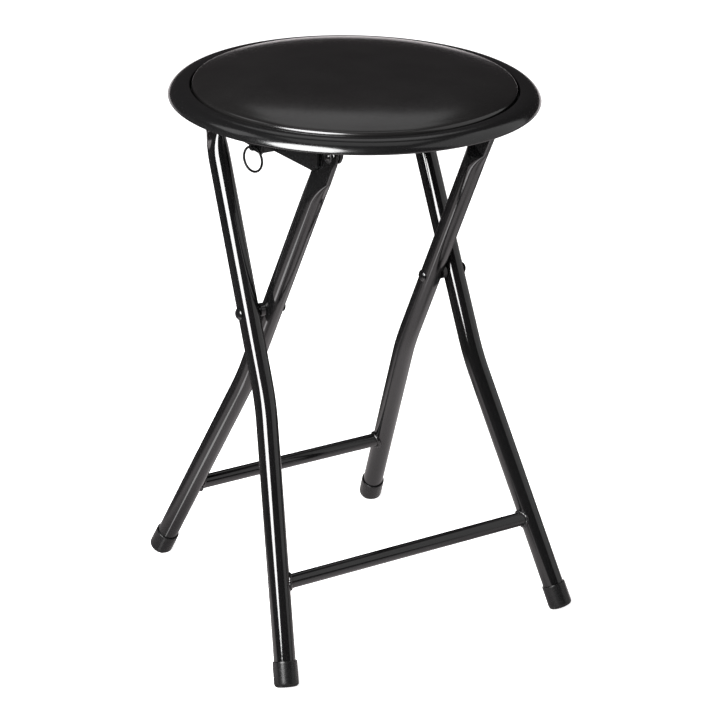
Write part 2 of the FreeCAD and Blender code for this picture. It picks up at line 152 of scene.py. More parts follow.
def build_studio():
    floor = plane("floor", 40.0, -0.0005)
    mat = bpy.data.materials.new("floor_white")
    mat.use_nodes = True
    b = mat.node_tree.nodes["Principled BSDF"]
    b.inputs["Base Color"].default_value = (0.80, 0.80, 0.80, 1)
    b.inputs["Roughness"].default_value = 0.9
    b.inputs["Specular IOR Level"].default_value = 0.0
    b.inputs["Emission Color"].default_value = (1, 1, 1, 1)
    b.inputs["Emission Strength"].default_value = 0.85
    mat.cycles.emission_sampling = "NONE"
    floor.data.materials.append(mat)
    floor.visible_glossy = False

    # emissive stand-in for the lit floor as the gloss of the stool mirrors it, with painted shade: dim on the left,
    # painted contact shadows round the feet, bright again far behind
    patch = plane("floor_sheen", 16.0, -0.002)
    mat = emission_material("floor_sheen", (1.0, 0.94, 0.95), 1.0)
    t = mat.node_tree
    co = t.nodes.new("ShaderNodeTexCoord").outputs["Object"]

    def along(axis):
        n = t.nodes.new("ShaderNodeVectorMath")
        n.operation = "DOT_PRODUCT"
        n.inputs[1].default_value = axis
        t.links.new(co, n.inputs[0])
        return n.outputs["Value"]

    def eased(value, lo, hi, a, b):
        n = t.nodes.new("ShaderNodeMapRange")
        n.interpolation_type = "SMOOTHSTEP"
        for key, v in (("From Min", lo), ("From Max", hi), ("To Min", a), ("To Max", b)):
            n.inputs[key].default_value = v
        t.links.new(value, n.inputs["Value"])
        return n.outputs["Result"]

    def both(op, a, b):
        n = t.nodes.new("ShaderNodeMath")
        n.operation = op
        t.links.new(a, n.inputs[0])
        t.links.new(b, n.inputs[1])
        return n.outputs[0]

    toward_cam = Vector((CAM_POS.x, CAM_POS.y, 0.0)).normalized()
    to_right = Vector((-toward_cam.y, toward_cam.x, 0.0))
    near = eased(along(0.74 * to_right + 0.67 * toward_cam), -0.34, -0.16, 0.12, 1.20)
    far = eased(along(-toward_cam), 1.4, 2.2, 0.0, 1.15)
    depth = along(toward_cam)
    near = both("MULTIPLY", near, eased(depth, -0.50, -0.08, 0.10, 1.0))
    near = both("MULTIPLY", near, eased(along(0.88 * toward_cam - 0.47 * to_right), 0.35, 0.50, 1.0, 0.08))
    near = both("MULTIPLY", near, eased(along(to_right), 0.15, 0.50, 1.0, 0.55))
    glow = both("MAXIMUM", near, far)
    # painted contact shadow: the sheen's emission is dimmed round each foot
    for fx, fy, least, reach in ((-0.136, -0.134, 0.30, 0.10), (0.136, -0.134, 0.40, 0.12), (-0.110, 0.133, 0.40, 0.14),
                                 (0.110, 0.133, 0.70, 0.14)):
        d = t.nodes.new("ShaderNodeVectorMath")
        d.operation = "DISTANCE"
        d.inputs[1].default_value = (fx, fy, -0.002)
        t.links.new(co, d.inputs[0])
        glow = both("MULTIPLY", glow, eased(d.outputs["Value"], 0.02, reach, least, 1.0))
    em = [n for n in t.nodes if n.type == "EMISSION"][0]
    t.links.new(glow, em.inputs["Strength"])
    clear = t.nodes.new("ShaderNodeBsdfTransparent")
    add = t.nodes.new("ShaderNodeAddShader")
    out = [n for n in t.nodes if n.type == "OUTPUT_MATERIAL"][0]
    t.links.new(em.outputs[0], add.inputs[0])
    t.links.new(clear.outputs[0], add.inputs[1])
    t.links.new(add.outputs[0], out.inputs["Surface"])
    patch.data.materials.append(mat)
    only_gloss(patch)

    # white backdrop dome, seen by the camera only
    me = bpy.data.meshes.new("backdrop")
    bm = bmesh.new()
    bmesh.ops.create_uvsphere(bm, u_segments=48, v_segments=24, radius=18.0)
    bm.to_mesh(me)
    bm.free()
    dome = bpy.data.objects.new("backdrop", me)
    scene.collection.objects.link(dome)
    me.materials.append(emission_material("backdrop", (1, 1, 1), 1.05))
    dome.visible_diffuse = False
    dome.visible_glossy = False
    dome.visible_shadow = False
    dome.visible_transmission = False

    # dim room around the set
    w = bpy.data.worlds.new("room")
    w.use_nodes = True
    w.node_tree.nodes["Background"].inputs["Color"].default_value = (1.0, 0.92, 0.95, 1)
    w.node_tree.nodes["Background"].inputs["Strength"].default_value = 0.046
    scene.world = w

    softbox("key", -29.9, 34.3, 1.79, 1.26, 1.68, 26.0, diffuse=0.25, shape="ELLIPSE", roll=13)
    softbox("back_top", 180.5, 44, 2.0, 0.80, 0.72, 0.62, centre=(0.0, 0.0, 0.45))
    softbox("overhead", 180, 84, 1.8, 1.3, 1.0, 0.7, centre=(0.0, 0.0, 0.45))
    softbox("fill_right", 92, 30, 2.4, 3.0, 3.0, 0.8)
    softbox("fill_left", -98, 46, 2.2, 0.9, 0.8, 1.5, centre=(0.0, 0.0, 0.45))
    card("card_left", -95, 2, 2.4, 2.4, 1.6, 0.12)
    card("floor_key", -42, -53, 1.6, 0.30, 0.26, 4.2)



build_studio()
scene.view_settings.view_transform = "Standard"
scene.view_settings.look = "None"


# ------------------------------------------------------------------
# materials
# ------------------------------------------------------------------

class Mat:
    """Principled material whose colour, roughness and bump come from procedural nodes."""

    def __init__(self, name):
        self.mat = bpy.data.materials.new(name)
        self.mat.use_nodes = True
        self.t = self.mat.node_tree
        self.b = self.t.nodes["Principled BSDF"]
        self.co = self.t.nodes.new("ShaderNodeTexCoord").outputs["Object"]

    def node(self, kind, **props):
        n = self.t.nodes.new(kind)
        for k, v in props.items():
            setattr(n, k, v)
        return n

    def noise(self, scale, detail=3.0, rough=0.55, stretch=None, distort=0.0):
        n = self.node("ShaderNodeTexNoise")
        n.inputs["Scale"].default_value = scale
        n.inputs["Detail"].default_value = detail
        n.inputs["Roughness"].default_value = rough
        n.inputs["Distortion"].default_value = distort
        if stretch:
            mp = self.node("ShaderNodeMapping")
            mp.inputs["Scale"].default_value = stretch
            self.t.links.new(self.co, mp.inputs["Vector"])
            self.t.links.new(mp.outputs["Vector"], n.inputs["Vector"])
        else:
            self.t.links.new(self.co, n.inputs["Vector"])
        return n.outputs["Fac"]

    def cells(self, scale, feature="F1", random=1.0):
        n = self.node("ShaderNodeTexVoronoi", feature=feature)
        n.inputs["Scale"].default_value = scale
        n.inputs["Randomness"].default_value = random
        self.t.links.new(self.co, n.inputs["Vector"])
        return n.outputs["Distance"]

    def remap(self, fac, lo, hi, a, b, smooth=False):
        n = self.node("ShaderNodeMapRange")
        if smooth:
            n.interpolation_type = "SMOOTHSTEP"
        n.inputs["From Min"].default_value = lo
        n.inputs["From Max"].default_value = hi
        n.inputs["To Min"].default_value = a
        n.inputs["To Max"].default_value = b
        self.t.links.new(fac, n.inputs["Value"])
        return n.outputs["Result"]

    def math(self, op, a, b):
        n = self.node("ShaderNodeMath", operation=op)
        for i, v in enumerate((a, b)):
            if isinstance(v, (int, float)):
                n.inputs[i].default_value = v
            else:
                self.t.links.new(v, n.inputs[i])
        return n.outputs[0]

    def ramp(self, fac, stops):
        n = self.node("ShaderNodeValToRGB")
        e = n.color_ramp.elements
        while len(e) < len(stops):
            e.new(0.5)
        for i, (p, c) in enumerate(stops):
            e[i].position = p
            e[i].color = (*c, 1.0)
        self.t.links.new(fac, n.inputs["Fac"])
        return n.outputs["Color"]

    def colour(self, out):
        self.t.links.new(out, self.b.inputs["Base Color"])

    def rough(self, out):
        self.t.links.new(out, self.b.inputs["Roughness"])

    def bump(self, layers):
        """layers: list of (height output, strength, distance in metres)."""
        prev = None
        for h, strength, dist in layers:
            n = self.node("ShaderNodeBump")
            n.inputs["Strength"].default_value = strength
            n.inputs["Distance"].default_value = dist
            self.t.links.new(h, n.inputs["Height"])
            if prev:
                self.t.links.new(prev, n.inputs["Normal"])
            prev = n.outputs["Normal"]
        self.t.links.new(prev, self.b.inputs["Normal"])

    def const(self, **values):
        for k, v in values.items():
            self.b.inputs[k.replace("_", " ")].default_value = v


def powder_coat(name, base, r_lo, r_hi, peel, gloss=0.5):
    """Gloss black stoved coat with orange peel."""
    k = Mat(name)
    tint = k.noise(14.0, 3.0)
    k.colour(k.ramp(tint, [(0.30, tuple(c * 0.75 for c in base)), (0.70, tuple(c * 1.25 for c in base))]))
    k.rough(k.remap(k.noise(240.0, 2.0), 0.25, 0.75, r_lo, r_hi))
    k.bump([(k.noise(420.0, 2.0, 0.5), peel, 0.00006), (k.noise(1500.0, 1.0, 0.5), peel * 0.6, 0.00002)])
    k.const(Specular_IOR_Level=gloss)
    return k.mat


def gloss_plastic(name, base, r_lo, r_hi):
    k = Mat(name)
    k.colour(k.ramp(k.noise(9.0, 3.0), [(0.3, tuple(c * 0.8 for c in base)), (0.7, tuple(c * 1.2 for c in base))]))
    k.rough(k.remap(k.noise(160.0, 4.0), 0.25, 0.75, r_lo, r_hi))
    k.bump([(k.noise(60.0, 2.0, 0.5), 0.10, 0.0001), (k.noise(1900.0, 2.0, 0.5), 0.10, 0.00002)])
    return k.mat


def vinyl_cover(name):
    """Soft black vinyl with a fine pebble grain."""
    k = Mat(name)
    k.colour(k.ramp(k.noise(22.0, 4.0), [(0.3, (0.0040, 0.0038, 0.0038)), (0.7, (0.0060, 0.0058, 0.0057))]))
    k.rough(k.remap(k.noise(320.0, 3.0), 0.25, 0.75, 0.15, 0.21))
    grain = k.math("ADD", k.cells(900.0, "SMOOTH_F1"), k.math("MULTIPLY", k.noise(1700.0, 2.0), 0.6))
    k.bump([(k.noise(45.0, 2.0, 0.5), 0.05, 0.0002), (grain, 0.13, 0.00007)])
    k.const(Specular_IOR_Level=0.5)
    return k.mat


def satin_cap(name):
    """Moulded foot cap, satin with a faint mould texture."""
    k = Mat(name)
    k.colour(k.ramp(k.noise(60.0, 4.0), [(0.3, (0.0020, 0.0020, 0.0021)), (0.7, (0.0038, 0.0038, 0.0039))]))
    k.rough(k.remap(k.noise(500.0, 3.0), 0.25, 0.75, 0.22, 0.32))
    k.bump([(k.noise(1100.0, 3.0, 0.6), 0.25, 0.00006), (k.noise(120.0, 2.0), 0.15, 0.0001)])
    k.const(Specular_IOR_Level=0.32)
    return k.mat


def plated_steel(name, base, r_lo, r_hi, stretch=(1.0, 1.0, 1.0)):
    k = Mat(name)
    k.colour(k.ramp(k.noise(90.0, 4.0), [(0.25, tuple(c * 0.72 for c in base)), (0.75, base)]))
    k.rough(k.remap(k.noise(700.0, 3.0, stretch=stretch), 0.25, 0.75, r_lo, r_hi))
    k.bump([(k.noise(900.0, 3.0, stretch=stretch), 0.12, 0.00003)])
    k.const(Metallic=1.0)
    return k.mat


def plywood(name):
    k = Mat(name)
    w = k.node("ShaderNodeTexWave", wave_type="BANDS", bands_direction="Y")
    w.inputs["Scale"].default_value = 28.0
    w.inputs["Distortion"].default_value = 9.0
    w.inputs["Detail"].default_value = 3.0
    k.t.links.new(k.co, w.inputs["Vector"])
    k.colour(k.ramp(w.outputs["Fac"], [(0.0, (0.38, 0.25, 0.13)), (1.0, (0.56, 0.41, 0.25))]))
    k.rough(k.remap(k.noise(150.0), 0.25, 0.75, 0.55, 0.75))
    k.bump([(w.outputs["Fac"], 0.2, 0.0002)])
    return k.mat


def foam_stuff(name):
    k = Mat(name)
    k.colour(k.ramp(k.cells(500.0), [(0.0, (0.55, 0.50, 0.32)), (0.6, (0.78, 0.73, 0.52))]))
    k.rough(k.remap(k.noise(200.0), 0.25, 0.75, 0.85, 0.95))
    k.bump([(k.cells(500.0), 0.5, 0.0005)])
    return k.mat


paint = powder_coat("frame_paint", (0.0024, 0.0024, 0.0025), 0.05, 0.09, 0.16)
bracket_paint = powder_coat("bracket_paint", (0.0036, 0.0036, 0.0037), 0.24, 0.34, 0.30, 0.4)
rivet_paint = powder_coat("rivet_paint", (0.0024, 0.0024, 0.0025), 0.10, 0.16, 0.12)
ring_paint = powder_coat("ring_wire", (0.0020, 0.0020, 0.0021), 0.40, 0.50, 0.10, 0.12)
pan_mat = gloss_plastic("pan_plastic", (0.0030, 0.0030, 0.0031), 0.14, 0.20)
vinyl = vinyl_cover("vinyl")
cap_mat = satin_cap("foot_cap")
spacer_mat = gloss_plastic("spacer_plastic", (0.004, 0.004, 0.0042), 0.10, 0.18)
washer_mat = plated_steel("washer_steel", (0.20, 0.20, 0.205), 0.35, 0.5)
rod_mat = plated_steel("rod_steel", (0.46, 0.46, 0.47), 0.25, 0.4, (0.08, 1.0, 1.0))
screw_mat = plated_steel("screw_steel", (0.50, 0.50, 0.49), 0.25, 0.4)
spring_mat = plated_steel("spring_steel", (0.36, 0.36, 0.37), 0.22, 0.35)
wood = plywood("board_wood")
foam_mat = foam_stuff("foam")

slot_mats = {"frame_paint": paint, "foot_cap": cap_mat, "rivet_black": rivet_paint, "spacer_plastic": spacer_mat,
             "washer_steel": washer_mat, "rod_steel": rod_mat, "pan_plastic": pan_mat, "board_wood": wood,
             "foam": foam_mat, "vinyl": vinyl, "bracket_paint": bracket_paint, "screw_steel": screw_mat,
             "spring_steel": spring_mat, "ring_wire": ring_paint}


def dress(ob, mat):
    ob.data.materials.clear()
    ob.data.materials.append(mat)


for sp in frame["record"]["subparts"]:
    dress(nodes[sp["node"]], slot_mats[sp["material_slot"]])


# ------------------------------------------------------------------
# mesh helpers (lengths in millimetres until the mesh is written)
# ------------------------------------------------------------------

def piece(name, bm, body, mat, smooth=True, replaces=()):
    bmesh.ops.recalc_face_normals(bm, faces=bm.faces[:])
    for v in bm.verts:
        v.co = v.co * MM
    for f in bm.faces:
        f.smooth = smooth
    me = bpy.data.meshes.new(name)
    bm.to_mesh(me)
    bm.free()
    ob = bpy.data.objects.new(name, me)
    scene.collection.objects.link(ob)
    dress(ob, mat)
    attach(ob, body)
    if replaces:
        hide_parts(*replaces)
    return ob


def spline(points, per_span=8):
    """Natural cubic curve through the points, by chord length."""
    n = len(points)
    t = [0.0]
    for a, b in zip(points, points[1:]):
        t.append(t[-1] + math.dist(a, b))
    h = [t[i + 1] - t[i] for i in range(n - 1)]
    out_axes = []
    for ax in range(len(points[0])):
        y = [p[ax] for p in points]
        lo = [0.0] * n
        di = [1.0] * n
        up = [0.0] * n
        rh = [0.0] * n
        for i in range(1, n - 1):
            lo[i] = h[i - 1]
            di[i] = 2 * (h[i - 1] + h[i])
            up[i] = h[i]
            rh[i] = 6 * ((y[i + 1] - y[i]) / h[i] - (y[i] - y[i - 1]) / h[i - 1])
        for i in range(1, n):
            w = lo[i] / di[i - 1]
            di[i] -= w * up[i - 1]
            rh[i] -= w * rh[i - 1]
        k = [0.0] * n
        k[-1] = rh[-1] / di[-1]
        for i in range(n - 2, -1, -1):
            k[i] = (rh[i] - up[i] * k[i + 1]) / di[i]
        vals = []
        for i in range(n - 1):
            for j in range(per_span):
                u = h[i] * j / per_span
                a = (k[i + 1] - k[i]) / (6 * h[i])
                b = k[i] / 2
                c = (y[i + 1] - y[i]) / h[i] - h[i] * (2 * k[i] + k[i + 1]) / 6
                vals.append(((a * u + b) * u + c) * u + y[i])
        vals.append(y[-1])
        out_axes.append(vals)
    return [tuple(v) for v in zip(*out_axes)]


def rings_to_bm(rings, close_start=True, close_end=True, loop=False):
    """Skin a list of equal closed rings of points."""
    bm = bmesh.new()
    vs = [[bm.verts.new(p) for p in r] for r in rings]
    n = len(rings[0])
    pairs = list(zip(vs, vs[1:]))
    if loop:
        pairs.append((vs[-1], vs[0]))
    for a, b in pairs:
        for i in range(n):
            bm.faces.new((a[i], a[(i + 1) % n], b[(i + 1) % n], b[i]))
    if not loop:
        for ring, close in ((vs[0], close_start), (vs[-1], close_end)):
            if close:
                c = Vector((0, 0, 0))
                for v in ring:
                    c += v.co
                mid = bm.verts.new(c / n)
                for i in range(n):
                    bm.faces.new((ring[i], ring[(i + 1) % n], mid))
    return bm


def revolve_bm(profile, seg, warp=None):
    """Turn a closed (r, z) loop about Z; points on the axis become single vertices."""
    bm = bmesh.new()
    cols = []
    for r, z in profile:
        if r < 1e-6:
            v = bm.verts.new((0, 0, z + (warp(0.0, 0.0, 0.0) if warp else 0.0)))
            cols.append([v] * seg)
        else:
            col = []
            for i in range(seg):
                a = 2 * math.pi * i / seg
                x, y = r * math.cos(a), r * math.sin(a)
                col.append(bm.verts.new((x, y, z + (warp(x, y, z) if warp else 0.0))))
            cols.append(col)
    for k in range(len(cols)):
        a, b = cols[k], cols[(k + 1) % len(cols)]
        for i in range(seg):
            j = (i + 1) % seg
            quad = []
            for v in (a[i], a[j], b[j], b[i]):
                if v not in quad:
                    quad.append(v)
            if len(quad) > 2:
                bm.faces.new(quad)
    return bm


def tube_bm(bm, path, radius, seg=12, closed=False, radii=None):
    """Round tube along a list of points, added to bm."""
    n = len(path)
    rings = []
    up = None
    for i in range(n):
        if closed:
            tan = (path[(i + 1) % n] - path[i - 1]).normalized()
        else:
            tan = (path[min(i + 1, n - 1)] - path[max(i - 1, 0)]).normalized()
        if up is None:
            up = tan.orthogonal().normalized()
        up = (up - tan * up.dot(tan)).normalized()
        side = tan.cross(up)
        r = radii[i] if radii else radius
        rings.append([bm.verts.new(path[i] + r * (math.cos(2 * math.pi * j / seg) * up + math.sin(2 * math.pi * j / seg) * side))
                      for j in range(seg)])
    pairs = list(zip(rings, rings[1:]))
    if closed:
        # the last ring joins the first with the least twist
        best = min(range(seg), key=lambda s: (rings[-1][0].co - rings[0][s].co).length)
        pairs.append((rings[-1], rings[0][best:] + rings[0][:best]))
    for a, b in pairs:
        for j in range(seg):
            bm.faces.new((a[j], a[(j + 1) % seg], b[(j + 1) % seg], b[j]))
    if not closed:
        bm.faces.new(rings[0])
        bm.faces.new(list(reversed(rings[-1])))


# ------------------------------------------------------------------
# legs: bent tube, pressed flat at the top
# ------------------------------------------------------------------

TUBE_R, BEND_R = 9.0, 260.0
PIV_Y, PIV_Z = -4.453, 274.774
OUTER = dict(w=99.497, taper=1.482, splay=8.704, bend=-74.369, tilt=25.432, dir=1.0, foot=-301.5, bar=-220.0, tip=166.0)
INNER = dict(w=77.17, taper=1.235, splay=8.059, bend=-85.595, tilt=26.821, dir=-1.0, foot=-305.1, bar=-222.2, tip=169.5)
TAB_T, TAB_W = 5.2, 24.6
FLAT_S0, FLAT_S1 = 125.0, 150.0
BAR_R = 6.0
CAP_R, CAP_H, CAP_FLOOR, CAP_ROUND = 10.2, 21.0, 3.5, 3.0
SEC_N = 64


def leg_x(f, s):
    u, g = math.tan(math.radians(f["taper"])), math.tan(math.radians(f["splay"]))
    if s >= f["bend"]:
        return f["w"] - u * s
    return f["w"] - u * f["bend"] + g * (f["bend"] - s)


def at(f, x, s, n=0.0):
    a = math.radians(f["tilt"])
    return Vector((x, PIV_Y + f["dir"] * s * math.sin(a) + n * math.cos(a),
                   PIV_Z + s * math.cos(a) - f["dir"] * n * math.sin(a)))


def stadium(h, half_w, count):
    """Even points on a flattened round of half thickness h: (x, n, on_flat)."""
    flat = max(0.0, half_w - h)
    arc = math.pi * h
    per = 4 * flat + 2 * arc
    pts = []
    for i in range(count):
        d = per * i / count
        # start at the middle of the +x flat, run towards +n
        if d < flat:
            pts.append((h, d))
        elif d < flat + arc:
            a = (d - flat) / h
            pts.append((h * math.cos(a), flat + h * math.sin(a)))
        elif d < 3 * flat + arc:
            pts.append((-h, flat - (d - flat - arc)))
        elif d < 3 * flat + 2 * arc:
            a = (d - 3 * flat - arc) / h
            pts.append((-h * math.cos(a), -flat - h * math.sin(a)))
        else:
            pts.append((h, -flat + (d - 3 * flat - 2 * arc)))
    return pts, flat


def press_raw(s):
    t = (FLAT_S1 - s) / (FLAT_S1 - FLAT_S0)
    t = min(1.0, max(0.0, t))
    return 1.0 - (1.0 - t) ** 2.1      # 0 on the flat, 1 on the round tube


def press(s):
    """How round the section is, with a slightly eased crease."""
    w = 0.8
    return sum(press_raw(s + w * (j / 4.0 - 1.0)) for j in range(9)) / 9.0


def leg_rings(f):
    tip = f["tip"]
    xt = leg_x(f, tip)
    half_w = TAB_W / 2
    flat_h = TAB_T / 2
    rings = []

    def put(s, section, xc):
        rings.append([at(f, xc + px, s, pn) for px, pn in section])

    # round tip, from its very end down
    sec0, flat = stadium(flat_h, half_w, SEC_N)
    for i in range(1, 15):
        q = half_w * math.cos(math.pi / 2 * i / 15.0)
        sec = []
        for px, pn in sec0:
            e = max(0.0, abs(pn) - flat)
            sg = 1.0 if pn >= 0 else -1.0
            if q <= flat:
                if e <= 0:
                    sec.append((px, pn * math.sqrt(flat * flat - q * q) / flat))
                else:
                    sec.append((px, sg * math.sqrt(max(0.0, (flat + e) ** 2 - q * q))))
            else:
                k = math.sqrt(max(0.0, flat_h ** 2 - (q - flat) ** 2)) / flat_h
                x2 = px * k
                e2 = math.sqrt(max(0.0, flat_h ** 2 - x2 * x2))
                lim = math.sqrt(max(0.0, (flat + e2) ** 2 - q * q))
                share = 1.0 if e > 0 else abs(pn) / flat
                sec.append((x2, sg * lim * share))
        put(tip + q, sec, xt)
    # flat, then the pressed cone
    s = tip
    stations = []
    while s > FLAT_S1 + 1.2:
        stations.append(s)
        s -= 3.0
    s = FLAT_S1 + 1.2
    while s > FLAT_S0 - 1.0:
        stations.append(s)
        s -= 0.3 if s > FLAT_S1 - 1.5 else 1.0
    for s in stations:
        k = press(s)
        h = flat_h + (TUBE_R - flat_h) * k
        # the wall keeps its length round the section while it is pressed
        wide = h + (math.pi / 2) * (TUBE_R - h)
        wide = wide + (half_w - (flat_h + (math.pi / 2) * (TUBE_R - flat_h))) * (1 - k)
        sec, _ = stadium(h, max(h, wide), SEC_N)
        put(s, sec, leg_x(f, s) * k + xt * (1 - k))
    # round tube: straight, arc, straight
    round_sec = [(TUBE_R * math.cos(2 * math.pi * i / SEC_N), TUBE_R * math.sin(2 * math.pi * i / SEC_N)) for i in range(SEC_N)]
    up = Vector((-math.tan(math.radians(f["taper"])), 1.0)).normalized()
    dn = Vector((math.tan(math.radians(f["splay"])), -1.0)).normalized()
    corner = Vector((leg_x(f, f["bend"]), f["bend"]))
    turn = math.pi - up.angle(dn)
    t = BEND_R * math.tan(turn / 2)
    a0 = corner + up * t
    a1 = corner + dn * t
    path = []
    start = Vector((leg_x(f, FLAT_S0 - 2.0), FLAT_S0 - 2.0))
    n1 = 14
    for i in range(n1):
        path.append((start.lerp(a0, i / n1), -up))
    n2 = 14
    d0, d1 = -up, dn
    for i in range(n2 + 1):
        w = i / n2
        ang = turn * w
        # circular arc from a0 to a1
        side = Vector((-d0.y, d0.x))
        if side.dot(d1) < 0:
            side = -side
        p = a0 + d0 * (BEND_R * math.sin(ang)) + side * (BEND_R * (1 - math.cos(ang)))
        path.append((p, d0 * math.cos(ang) + side * math.sin(ang)))
    p0 = Vector((leg_x(f, f["foot"]), f["foot"]))
    end = p0 - dn * (CAP_FLOOR + 0.02)
    n3 = 22
    for i in range(1, n3 + 1):
        path.append((a1.lerp(end, i / n3), dn))
    for c, tan in path:
        e1 = Vector((-tan.y, tan.x))
        if e1.x < 0:
            e1 = -e1
        rings.append([at(f, c.x + e1.x * px, c.y + e1.y * px, pn) for px, pn in round_sec])
    return rings


def mirror_rings(rings):
    return [[Vector((-p.x, p.y, p.z)) for p in r] for r in rings]


for f, who, body in ((OUTER, "outer", "outer_frame"), (INNER, "inner", "inner_frame")):
    right = leg_rings(f)
    for side, rings in (("right", right), ("left", mirror_rings(right))):
        bm = rings_to_bm(rings)
        bmesh.ops.remove_doubles(bm, verts=bm.verts[:], dist=0.004)
        piece("%s_leg_%s_tube" % (who, side), bm, body, paint,
              replaces=("%s_leg_%s" % (who, side),))


# ------------------------------------------------------------------
# weld beads where the crossbars meet the legs
# ------------------------------------------------------------------

def weld_path(f, side, seed):
    c = at(f, 0, f["bar"])
    p = at(f, leg_x(f, f["foot"]), f["foot"])
    q = at(f, leg_x(f, f["bend"]), f["bend"])
    p.x *= side
    q.x *= side
    d = (q - p).normalized()
    path, radii = [], []
    n = 88
    for i in range(n):
        a = 2 * math.pi * i / n
        o = Vector((0.0, c.y + (BAR_R + 0.25) * math.cos(a), c.z + (BAR_R + 0.25) * math.sin(a)))
        # nearest crossing of the bar's generator line with the leg tube
        e = Vector((side, 0, 0))
        w0 = o - p
        A = 1.0 - e.dot(d) ** 2
        B = 2 * (w0.dot(e) - w0.dot(d) * e.dot(d))
        C = w0.length_squared - w0.dot(d) ** 2 - (TUBE_R + 0.25) ** 2
        root = (-B - math.sqrt(max(0.0, B * B - 4 * A * C))) / (2 * A)
        path.append(o + e * root)
        ripple = 0.16 * math.sin(17 * a + seed) + 0.55 * noise.noise(Vector((math.cos(a) * 1.7, math.sin(a) * 1.7, seed)))
        radii.append(1.75 + ripple)
    return path, radii


for f, who, body, s0 in ((OUTER, "outer", "outer_frame", 2.3), (INNER, "inner", "inner_frame", 7.9)):
    bm = bmesh.new()
    for side in (1, -1):
        path, radii = weld_path(f, side, s0 + side)
        tube_bm(bm, path, 1.7, 12, True, radii)
    piece("%s_welds" % who, bm, body, paint)


# ------------------------------------------------------------------
# foot caps
# ------------------------------------------------------------------

def cap_bm(f, side):
    p = at(f, leg_x(f, f["foot"]), f["foot"])
    q = at(f, leg_x(f, f["bend"]), f["bend"])
    p.x *= side
    q.x *= side
    d = (q - p).normalized()
    u = d.orthogonal().normalized()
    v = d.cross(u)
    prof = [(0.0, 0.0), (2.5, 0.0), (5.0, 0.0), (CAP_R - CAP_ROUND, 0.0)]
    for i in range(1, 9):
        a = math.pi / 2 * i / 8
        prof.append((CAP_R - CAP_ROUND + CAP_ROUND * math.sin(a), CAP_ROUND - CAP_ROUND * math.cos(a)))
    prof += [(CAP_R, 4.5), (CAP_R, 8.0), (CAP_R, 12.0), (CAP_R, 16.0), (CAP_R, 19.6), (CAP_R, CAP_H - 0.6)]
    for i in range(1, 5):
        a = math.pi / 2 * i / 4
        prof.append((CAP_R - 0.55 + 0.55 * math.cos(a), CAP_H - 0.55 + 0.55 * math.sin(a)))
    prof += [(TUBE_R + 0.05, CAP_H), (TUBE_R + 0.03, CAP_H - 0.4), (TUBE_R + 0.03, CAP_FLOOR), (0.0, CAP_FLOOR)]
    bm = revolve_bm(prof, 64)
    for vert in bm.verts:
        c = vert.co.copy()
        w = p + u * c.x + v * c.y + d * c.z
        if w.z < 0.0:
            w.z = 0.0
        vert.co = w
    return bm


for f, who, body in ((OUTER, "outer", "outer_frame"), (INNER, "inner", "inner_frame")):
    for side, word in ((1, "right"), (-1, "left")):
        piece("%s_foot_%s" % (who, word), cap_bm(f, side), body, cap_mat,
              replaces=("%s_foot_cap_%s" % (who, word),))


# ------------------------------------------------------------------
# seat pan with its rolled rim and the ribs under it
# ------------------------------------------------------------------

PAN_Z0, PAN_Z1 = 442.6, 445.1
rim_top = [(132.3, 450.2), (132.7, 451.05), (133.8, 451.42), (136.5, 451.5), (139.0, 451.3), (141.5, 450.85),
           (144.3, 449.85), (146.9, 448.15), (148.7, 446.2), (149.6, 444.6), (150.0, 443.4)]
lip = [(150.0, 443.4), (149.6, 442.3), (148.4, 441.7), (147.2, 442.1), (146.8, 443.3)]
under = [(146.8, 443.3), (145.6, 445.2), (143.0, 447.2), (139.6, 448.5), (137.6, 448.85), (136.2, 448.7)]
prof = [(0.0, PAN_Z1), (60.0, PAN_Z1), (131.3, PAN_Z1), (132.0, PAN_Z1 + 0.1), (132.3, PAN_Z1 + 0.5), (132.3, 448.0), (132.3, 449.7)]
prof += spline(rim_top, 7)[:-1] + spline(lip, 6)[:-1] + spline(under, 5)
prof += [(135.5, 448.2), (135.05, 447.6), (134.9, 446.8), (134.9, PAN_Z0 + 1.0), (134.7, PAN_Z0 + 0.3), (134.1, PAN_Z0),
         (132.5, PAN_Z0), (90.0, PAN_Z0), (40.0, PAN_Z0), (0.0, PAN_Z0)]
bm = revolve_bm(prof, 288)
rib_rz = [(134.5, 443.2), (147.4, 443.5), (147.0, 444.5), (145.6, 445.7), (143.0, 447.7),
          (139.6, 449.0), (137.6, 449.35), (136.0, 449.2), (134.5, 447.8)]
for i in range(36):
    a = math.radians(360.0 / 36 * (i + 0.5))
    ca, sa = math.cos(a), math.sin(a)
    faces = []
    for off in (-0.8, 0.8):
        faces.append([bm.verts.new((r * ca - off * sa, r * sa + off * ca, z)) for r, z in rib_rz])
    bm.faces.new(faces[0])
    bm.faces.new(list(reversed(faces[1])))
    for j in range(len(rib_rz)):
        k = (j + 1) % len(rib_rz)
        bm.faces.new((faces[0][j], faces[1][j], faces[1][k], faces[0][k]))
pan_ob = piece("seat_shell", bm, "seat", pan_mat, replaces=("seat_pan",))
mod = pan_ob.modifiers.new("edges", "EDGE_SPLIT")
mod.split_angle = math.radians(50)


# ------------------------------------------------------------------
# seat pad: vinyl over foam, swollen by a cloth simulation
# ------------------------------------------------------------------

PAD_R, CROWN_Z = 130.9, 462.6
pad_roll = [(PAD_R, 450.8), (130.75, 451.9), (130.2, 452.85), (129.3, 453.55), (128.0, 454.05)]


def dome_z(r):
    """Low dome that steepens towards its edge."""
    return CROWN_Z - 8.55 * (r / 128.0) ** 4


